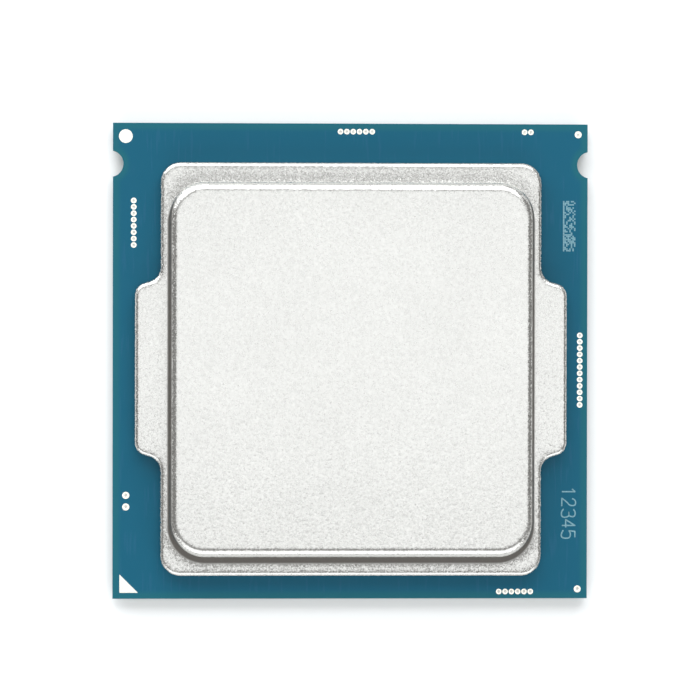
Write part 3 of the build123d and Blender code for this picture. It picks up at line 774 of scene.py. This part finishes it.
class PROCESSOR_OT_probe_pads(bpy.types.Operator):
    """Build the round pads of the top face, with plated edges and the dimple of the filled via"""

    bl_idname = "processor.probe_pads"
    bl_label = "Probe pads"

    def execute(self, context):
        fine = context.scene.processor_fine
        edge, dimple = fine.pad_edge, fine.pad_dimple
        bowl = (dimple ** 2 + fine.pad_dimple_depth ** 2) / (2 * fine.pad_dimple_depth)
        for node in PAD_NODES:
            bm = bmesh.new()
            for low, high in solids_of(node):
                centre, radius = (low + high) / 2, (high.x - low.x) / 2
                turns = [2 * math.pi * k / PAD_SIDES for k in range(PAD_SIDES)]
                spokes = [Vector((math.cos(t), math.sin(t))) for t in turns]
                circle = [(centre.xy + spoke * radius, spoke) for spoke in spokes]
                levels = [(0, low.z)] + arc(edge, high.z - edge, edge, 180, 90)
                for k in range(BOWL_RINGS):
                    reach = dimple * (1 - k / BOWL_RINGS)
                    sunk = fine.pad_dimple_depth - bowl + math.sqrt(bowl ** 2 - reach ** 2)
                    levels.append((radius - reach, high.z - sunk))
                rings = stack(bm, circle, levels)
                bm.faces.new(rings[0])
                bm.faces.new(rings[-1])
                # The dimple's inner faces take a greyer gold, painted shade in the recess.
                for vert in {v for inner in rings[-BOWL_RINGS + 1:] for v in inner}:
                    for face in vert.link_faces:
                        face.material_index = 1
            pads = new_piece(context, "dimpled_" + node, bm, "gold_plating", [node])
            pads.data.materials.append(finish_of(context, "dimple_shaded_gold"))
        return {"FINISHED"}


class PROCESSOR_OT_lands(bpy.types.Operator):
    """Round the corners and plated edges of the contact lands"""

    bl_idname = "processor.lands"
    bl_label = "Contact lands"

    def execute(self, context):
        fine = context.scene.processor_fine
        for node in ("upper_left_lands", "lower_right_lands"):
            bm = welded(node)
            face_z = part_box(node)[0].z
            round_edges(bm, [e for e in bm.edges if is_upright(e)], fine.land_corner,
                        LAND_CORNER_PARTS)
            rim = [e for e in bm.edges if all(abs(v.co.z - face_z) < WELD for v in e.verts)]
            round_edges(bm, rim, fine.land_edge, LAND_EDGE_PARTS)
            new_piece(context, "plated_" + node, bm, "gold_plating", [node])
        return {"FINISHED"}


class PROCESSOR_OT_capacitors(bpy.types.Operator):
    """Round the edges of the capacitors' bodies and end caps"""

    bl_idname = "processor.capacitors"
    bl_label = "Chip capacitors"

    def execute(self, context):
        fine = context.scene.processor_fine
        kinds = (("ceramics", "capacitor_ceramic", fine.ceramic_edge),
                 ("terminals", "tin_plating", fine.terminal_edge))
        for bank in ("outer_bank_", "middle_bank_"):
            for kind, slot, radius in kinds:
                bm = welded(bank + kind)
                round_edges(bm, list(bm.edges), radius, CAPACITOR_EDGE_PARTS)
                new_piece(context, "rounded_" + bank + kind, bm, slot, [bank + kind])
        return {"FINISHED"}


class PROCESSOR_OT_solder(bpy.types.Operator):
    """Build the capacitors' solder joints, hollow where they climb the end caps"""

    bl_idname = "processor.solder"
    bl_label = "Capacitor solder"

    def execute(self, context):
        bm = bmesh.new()
        terminals = solids_of("outer_bank_terminals") + solids_of("middle_bank_terminals")
        by_place = {(round((low.x + high.x) / 2, 5), low.y, high.y) for low, high in terminals}
        for low, high in solids_of("capacitor_solder"):
            x = (low.x + high.x) / 2
            near = [(a, b) for place, a, b in by_place
                    if abs(place - x) < TOUCH and a < high.y and b > low.y]
            if len(near) != 1:
                raise RuntimeError(f"a solder joint at {x:.4f}, {low.y:.4f} has no end cap of its own")
            inner, outer = near[0] if high.y - near[0][1] > near[0][0] - low.y else near[0][::-1]
            tip = high.y if outer > inner else low.y
            self.joint(bm, low, high, inner, outer, tip)
        new_piece(context, "capacitor_solder_fillets", bm, "solder_alloy", ["capacitor_solder"])
        return {"FINISHED"}

    def joint(self, bm, low, high, inner, outer, tip):
        """One joint, as sections across its width whose fillet is shorter towards both sides."""
        terminal_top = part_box("outer_bank_terminals")[1].z
        sections = []
        for side, reach in FILLET_SECTIONS:
            x = (low.x + high.x) / 2 + side * (high.x - low.x) / 2
            foot = outer + (tip - outer) * reach
            climb = terminal_top - (terminal_top - low.z) * reach
            section = [(inner, high.z), (inner, terminal_top), (outer, terminal_top)]
            for k in range(FILLET_PARTS + 1):
                t = math.pi / 2 * k / FILLET_PARTS
                section.append((outer + (foot - outer) * (1 - math.cos(t)),
                                climb + (high.z - climb) * math.sin(t)))
            sections.append([bm.verts.new((x, y, z)) for y, z in section])
        bridge(bm, sections)
        bm.faces.new(sections[0])
        bm.faces.new(sections[-1])


class PROCESSOR_OT_code_mark(bpy.types.Operator):
    """Frost a block of meaningless cells beside the heat spreader, as a traceability mark"""

    bl_idname = "processor.code_mark"
    bl_label = "Code mark"

    def execute(self, context):
        marks = context.scene.processor_marks
        draw = random.Random(marks.code_seed)
        cell, side = marks.code_cell, marks.code_cell * CELL_FILL
        bm = bmesh.new()
        for row in range(marks.code_rows):
            for column in range(marks.code_columns):
                if column > 0 and draw.random() < CELL_CHANCE:
                    continue
                centre = Vector((marks.code_left + (column + 0.5) * cell,
                                 marks.code_top - (row + 0.5) * cell, BOARD_TOP + marks.depth / 2))
                made = bmesh.ops.create_cube(bm, size=1.0)["verts"]
                for vert in made:
                    vert.co = centre + vert.co * Vector((side, side, marks.depth))
        new_piece(context, "frosted_code_mark", bm, "solder_mask", (), "laser_mark", None)
        return {"FINISHED"}


class PROCESSOR_OT_number_mark(bpy.types.Operator):
    """Frost plain digits beside the heat spreader, reading down the board"""

    bl_idname = "processor.number_mark"
    bl_label = "Number mark"

    def execute(self, context):
        marks = context.scene.processor_marks
        strokes = bpy.data.curves.new("strokes", "CURVE")
        strokes.dimensions = "3D"
        strokes.bevel_depth = marks.stroke / 2
        strokes.bevel_resolution = 2
        strokes.use_fill_caps = True
        width = marks.digits_height * DIGIT_WIDTH
        for index, digit in enumerate(marks.digits):
            start = marks.digits_top - index * marks.digits_pitch
            spline = strokes.splines.new("NURBS")
            points = DIGITS[digit]
            spline.points.add(len(points) - 1)
            for point, (right, up) in zip(spline.points, points):
                point.co = (marks.digits_foot + up * marks.digits_height, start - right * width, 0, 1)
            spline.order_u = 3
            spline.use_endpoint_u = True
        drawn = bpy.data.objects.new("strokes", strokes)
        bm = bmesh.new()
        bm.from_mesh(bpy.data.meshes.new_from_object(drawn))
        bpy.data.objects.remove(drawn)
        bmesh.ops.scale(bm, verts=bm.verts, vec=(1, 1, marks.depth / marks.stroke))
        bmesh.ops.translate(bm, verts=bm.verts, vec=(0, 0, BOARD_TOP + marks.depth / 2))
        new_piece(context, "frosted_number_mark", bm, "solder_mask", (), "laser_mark", None)
        return {"FINISHED"}


# ================================================================ stage
def aimed(place, aim, roll=0.0):
    """The turn that looks from a place at an aim with the X axis level, then rolls about that line."""
    back = (Vector(place) - Vector(aim)).normalized()
    right = Vector((0, 1, 0)).cross(back).normalized()
    level = Matrix((right, back.cross(right), back)).transposed()
    return (level @ Matrix.Rotation(roll, 3, "Z")).to_euler()


def area_light(context, name, place, width, height, radiance):
    """A soft box aimed at the board, by what its face gives off rather than by its power."""
    light = bpy.data.lights.new(name, "AREA")
    light.shape = "RECTANGLE"
    light.size, light.size_y = width, height
    light.energy = radiance * math.pi * width * height
    light.color = linear(BOX_COLOUR)[:3]
    box = bpy.data.objects.new(name, light)
    box.location = place
    box.rotation_euler = aimed(place, (0, 0, BOARD_TOP))
    box.visible_camera = False
    context.scene.collection.objects.link(box)


class PROCESSOR_OT_studio(bpy.types.Operator):
    """Lay the pale floor and set up the soft lights and the camera"""

    bl_idname = "processor.studio"
    bl_label = "Studio"

    def execute(self, context):
        studio = context.scene.processor_studio
        self.floor(context, studio)
        self.lights(context)
        self.camera(context, studio)
        return {"FINISHED"}

    def floor(self, context, studio):
        """A wide sheet of matt pale paper under the part."""
        material, place = start_material("matt_white_paper")
        fibre = add_node(material, "TexNoise", {"Scale": 1 / (0.8 * MM), "Detail": 3.0}, {"Vector": place})
        bump = add_node(material, "Bump", {"Strength": 0.3, "Distance": 0.01 * MM},
                        {"Height": fibre.outputs["Fac"]})
        finish_material(material, {"Base Color": studio.floor, "Roughness": 0.9, "IOR": 1.3},
                        {"Normal": bump.outputs["Normal"]})
        bm = bmesh.new()
        bmesh.ops.create_circle(bm, cap_ends=True, radius=FLOOR_RADIUS, segments=FLOOR_SIDES)
        mesh = bpy.data.meshes.new("paper_floor")
        bm.to_mesh(mesh)
        bm.free()
        mesh.materials.append(material)
        floor = bpy.data.objects.new("paper_floor", mesh)
        floor.location.z = CAD_BOX[0][2] - FLOOR_GAP
        context.scene.collection.objects.link(floor)

    def lights(self, context):
        """A box overhead, a strong one behind, a weaker one in front, and a dim room round them."""
        for soft_box in SOFT_BOXES:
            area_light(context, *soft_box)
        world = bpy.data.worlds.new("pale_room")
        context.scene.world = world
        world.use_nodes = True
        world.node_tree.nodes.clear()
        seen = add_node(world, "LightPath")
        dim = add_node(world, "Background", {"Color": linear(ROOM_COLOUR), "Strength": ROOM_STRENGTH})
        pale = add_node(world, "Background", {"Color": linear(BACKDROP_COLOUR)})
        mix = add_node(world, "MixShader", links={"Fac": seen.outputs["Is Camera Ray"],
                                                  1: dim.outputs["Background"],
                                                  2: pale.outputs["Background"]})
        add_node(world, "OutputWorld", links={"Surface": mix.outputs["Shader"]})

    def camera(self, context, studio):
        """Nearly straight down, from a long way off."""
        data = bpy.data.cameras.new("camera")
        data.lens, data.sensor_width = studio.lens, SENSOR_WIDTH
        data.clip_start, data.clip_end = CLIP_NEAR, CLIP_FAR
        camera = bpy.data.objects.new("camera", data)
        camera.location = studio.camera_place
        camera.rotation_euler = aimed(studio.camera_place, studio.camera_aim, studio.camera_roll)
        context.scene.collection.objects.link(camera)
        context.scene.camera = camera
        context.scene.view_settings.view_transform = "Standard"


class PROCESSOR_PT_panel(bpy.types.Panel):
    """Lists the steps that build the processor"""

    bl_idname = "PROCESSOR_PT_panel"
    bl_label = "Processor"
    bl_space_type = "VIEW_3D"
    bl_region_type = "UI"
    bl_category = "Processor"

    def draw(self, context):
        for operator in STEPS:
            self.layout.operator(operator.bl_idname)


STEPS = (
    PROCESSOR_OT_finishes,
    PROCESSOR_OT_heat_spreader,
    PROCESSOR_OT_probe_pads,
    PROCESSOR_OT_lands,
    PROCESSOR_OT_capacitors,
    PROCESSOR_OT_solder,
    PROCESSOR_OT_code_mark,
    PROCESSOR_OT_number_mark,
    PROCESSOR_OT_studio,
)
GROUPS = {
    "processor_lid": LidSizes,
    "processor_fine": FineSizes,
    "processor_marks": MarkSizes,
    "processor_colours": FinishColours,
    "processor_studio": StudioSettings,
}


def register():
    """Registers the settings, the steps and the panel."""
    for name, group in GROUPS.items():
        bpy.utils.register_class(group)
        setattr(bpy.types.Scene, name, PointerProperty(type=group))
    for operator in STEPS:
        bpy.utils.register_class(operator)
    bpy.utils.register_class(PROCESSOR_PT_panel)


def unregister():
    """Takes back what register added."""
    bpy.utils.unregister_class(PROCESSOR_PT_panel)
    for operator in reversed(STEPS):
        bpy.utils.unregister_class(operator)
    for name, group in reversed(GROUPS.items()):
        delattr(bpy.types.Scene, name)
        bpy.utils.unregister_class(group)


def main():
    """Builds everything in order."""
    register()
    for operator in STEPS:
        family, name = operator.bl_idname.split(".")
        getattr(getattr(bpy.ops, family), name)()


if __name__ == "__main__":
    main()
